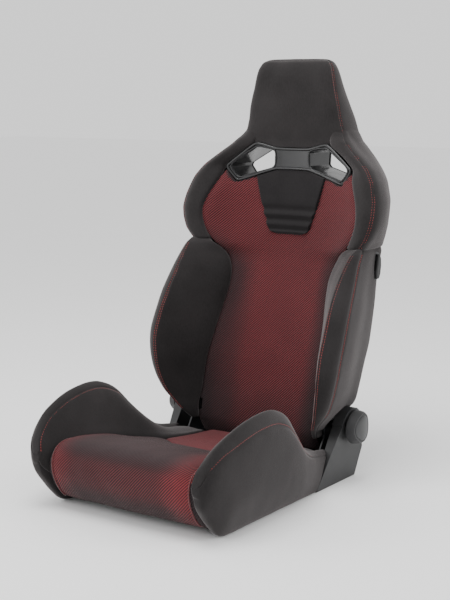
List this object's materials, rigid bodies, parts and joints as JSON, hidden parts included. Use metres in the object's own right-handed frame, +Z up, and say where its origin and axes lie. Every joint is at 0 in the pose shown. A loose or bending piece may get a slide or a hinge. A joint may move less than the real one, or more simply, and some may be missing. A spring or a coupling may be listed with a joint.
{
  "type": "racing seat",
  "caption": "Reclining bucket seat with raised cushion and backrest bolsters, integral headrest, shoulder harness slots, side recliner dials and fold levers.",
  "frame": {"origin": "middle of the bounding box at floor level", "axes": "+Z up; the occupant faces -Y; +X is the occupant's left"},
  "size_m": [0.5142, 0.7368, 0.9],
  "materials": {
    "suede": "black suede-like cloth over foam",
    "mesh_fabric": "red and black diagonal weave over foam",
    "black_plastic": "satin black",
    "grey_plastic": "fine-grained dark grey",
    "frame_steel": "black powder coat",
    "zinc_steel": "bright zinc plate",
    "spring_wire": "drawn spring wire",
    "cable_rubber": "black sheath"
  },
  "bodies": {
    "base": {"bracket_bolt_front_left": "zinc_steel", "bracket_bolt_front_right": "zinc_steel", "bracket_bolt_rear_left": "zinc_steel", "bracket_bolt_rear_right": "zinc_steel", "cushion_bolster_left": "suede", "cushion_bolster_right": "suede", "cushion_centre_pad": "mesh_fabric", "cushion_rear_insert": "mesh_fabric", "cushion_spring_1": "spring_wire", "cushion_spring_2": "spring_wire", "cushion_spring_3": "spring_wire", "front_cross_tube": "frame_steel", "front_pan": "frame_steel", "middle_cross_tube": "frame_steel", "rear_cross_tube": "frame_steel", "recliner_bracket_left": "frame_steel", "recliner_bracket_right": "frame_steel", "recliner_disc_outer_left": "zinc_steel", "recliner_disc_outer_right": "zinc_steel", "side_cover_left": "grey_plastic", "side_cover_right": "grey_plastic", "side_rail_left": "frame_steel", "side_rail_right": "frame_steel"},
    "recliner_arms": {"latch_striker_left": "zinc_steel", "latch_striker_right": "zinc_steel", "recliner_arm_left": "frame_steel", "recliner_arm_right": "frame_steel", "recliner_disc_inner_left": "zinc_steel", "recliner_disc_inner_right": "zinc_steel"},
    "adjuster": {"dial_cap_left": "black_plastic", "dial_cap_right": "black_plastic", "dial_left": "grey_plastic", "dial_right": "grey_plastic", "sync_shaft": "zinc_steel"},
    "backrest": {"back_centre_pad": "mesh_fabric", "back_insert": "suede", "back_shell": "black_plastic", "back_side_member_left": "frame_steel", "back_side_member_right": "frame_steel", "back_spring_1": "spring_wire", "back_spring_2": "spring_wire", "harness_bezel": "black_plastic", "head_pad": "suede", "lever_housing_left": "black_plastic", "lever_housing_right": "black_plastic", "lower_cross_member": "frame_steel", "release_cable_left": "cable_rubber", "release_cable_right": "cable_rubber", "shell_rim": "black_plastic", "shoulder_pad_left": "suede", "shoulder_pad_right": "suede", "torso_bolster_left": "suede", "torso_bolster_right": "suede", "upper_frame_tube": "frame_steel"},
    "release_lever_left": {"release_lever_left": "grey_plastic"},
    "release_lever_right": {"release_lever_right": "grey_plastic"},
    "latch_hook_left": {"latch_hook_left": "zinc_steel"},
    "latch_hook_right": {"latch_hook_right": "zinc_steel"}
  },
  "joints": [
    {"name": "recline", "type": "hinge", "parent": "base", "child": "recliner_arms", "pos_m": [0, 0.1656, 0.12], "axis": [-1, 0, 0], "range_deg": [0, 50]},
    {"name": "adjuster_spin", "type": "hinge", "parent": "base", "child": "adjuster", "pos_m": [0, 0.1656, 0.12], "axis": [-1, 0, 0], "range_deg": [0, 1500]},
    {"name": "fold", "type": "hinge", "parent": "recliner_arms", "child": "backrest", "pos_m": [0, 0.1656, 0.12], "axis": [1, 0, 0], "range_deg": [0, 30]},
    {"name": "lever_left", "type": "hinge", "parent": "backrest", "child": "release_lever_left", "pos_m": [0.22, 0.2586, 0.438], "axis": [-1, 0, 0], "range_deg": [0, 25], "stiffness_Nm_per_rad": 0.2},
    {"name": "latch_left", "type": "hinge", "parent": "backrest", "child": "latch_hook_left", "pos_m": [0.16, 0.2116, 0.263], "axis": [1, 0, 0], "range_deg": [0, 20], "stiffness_Nm_per_rad": 0.1},
    {"name": "lever_right", "type": "hinge", "parent": "backrest", "child": "release_lever_right", "pos_m": [-0.22, 0.2586, 0.438], "axis": [-1, 0, 0], "range_deg": [0, 25], "stiffness_Nm_per_rad": 0.2},
    {"name": "latch_right", "type": "hinge", "parent": "backrest", "child": "latch_hook_right", "pos_m": [-0.16, 0.2116, 0.263], "axis": [1, 0, 0], "range_deg": [0, 20], "stiffness_Nm_per_rad": 0.1}
  ],
  "couplings": [
    {"joint": "adjuster_spin", "follows": "recline", "ratio": 30},
    {"joint": "latch_left", "follows": "lever_left", "ratio": 0.8},
    {"joint": "latch_right", "follows": "lever_right", "ratio": 0.8}
  ]
}
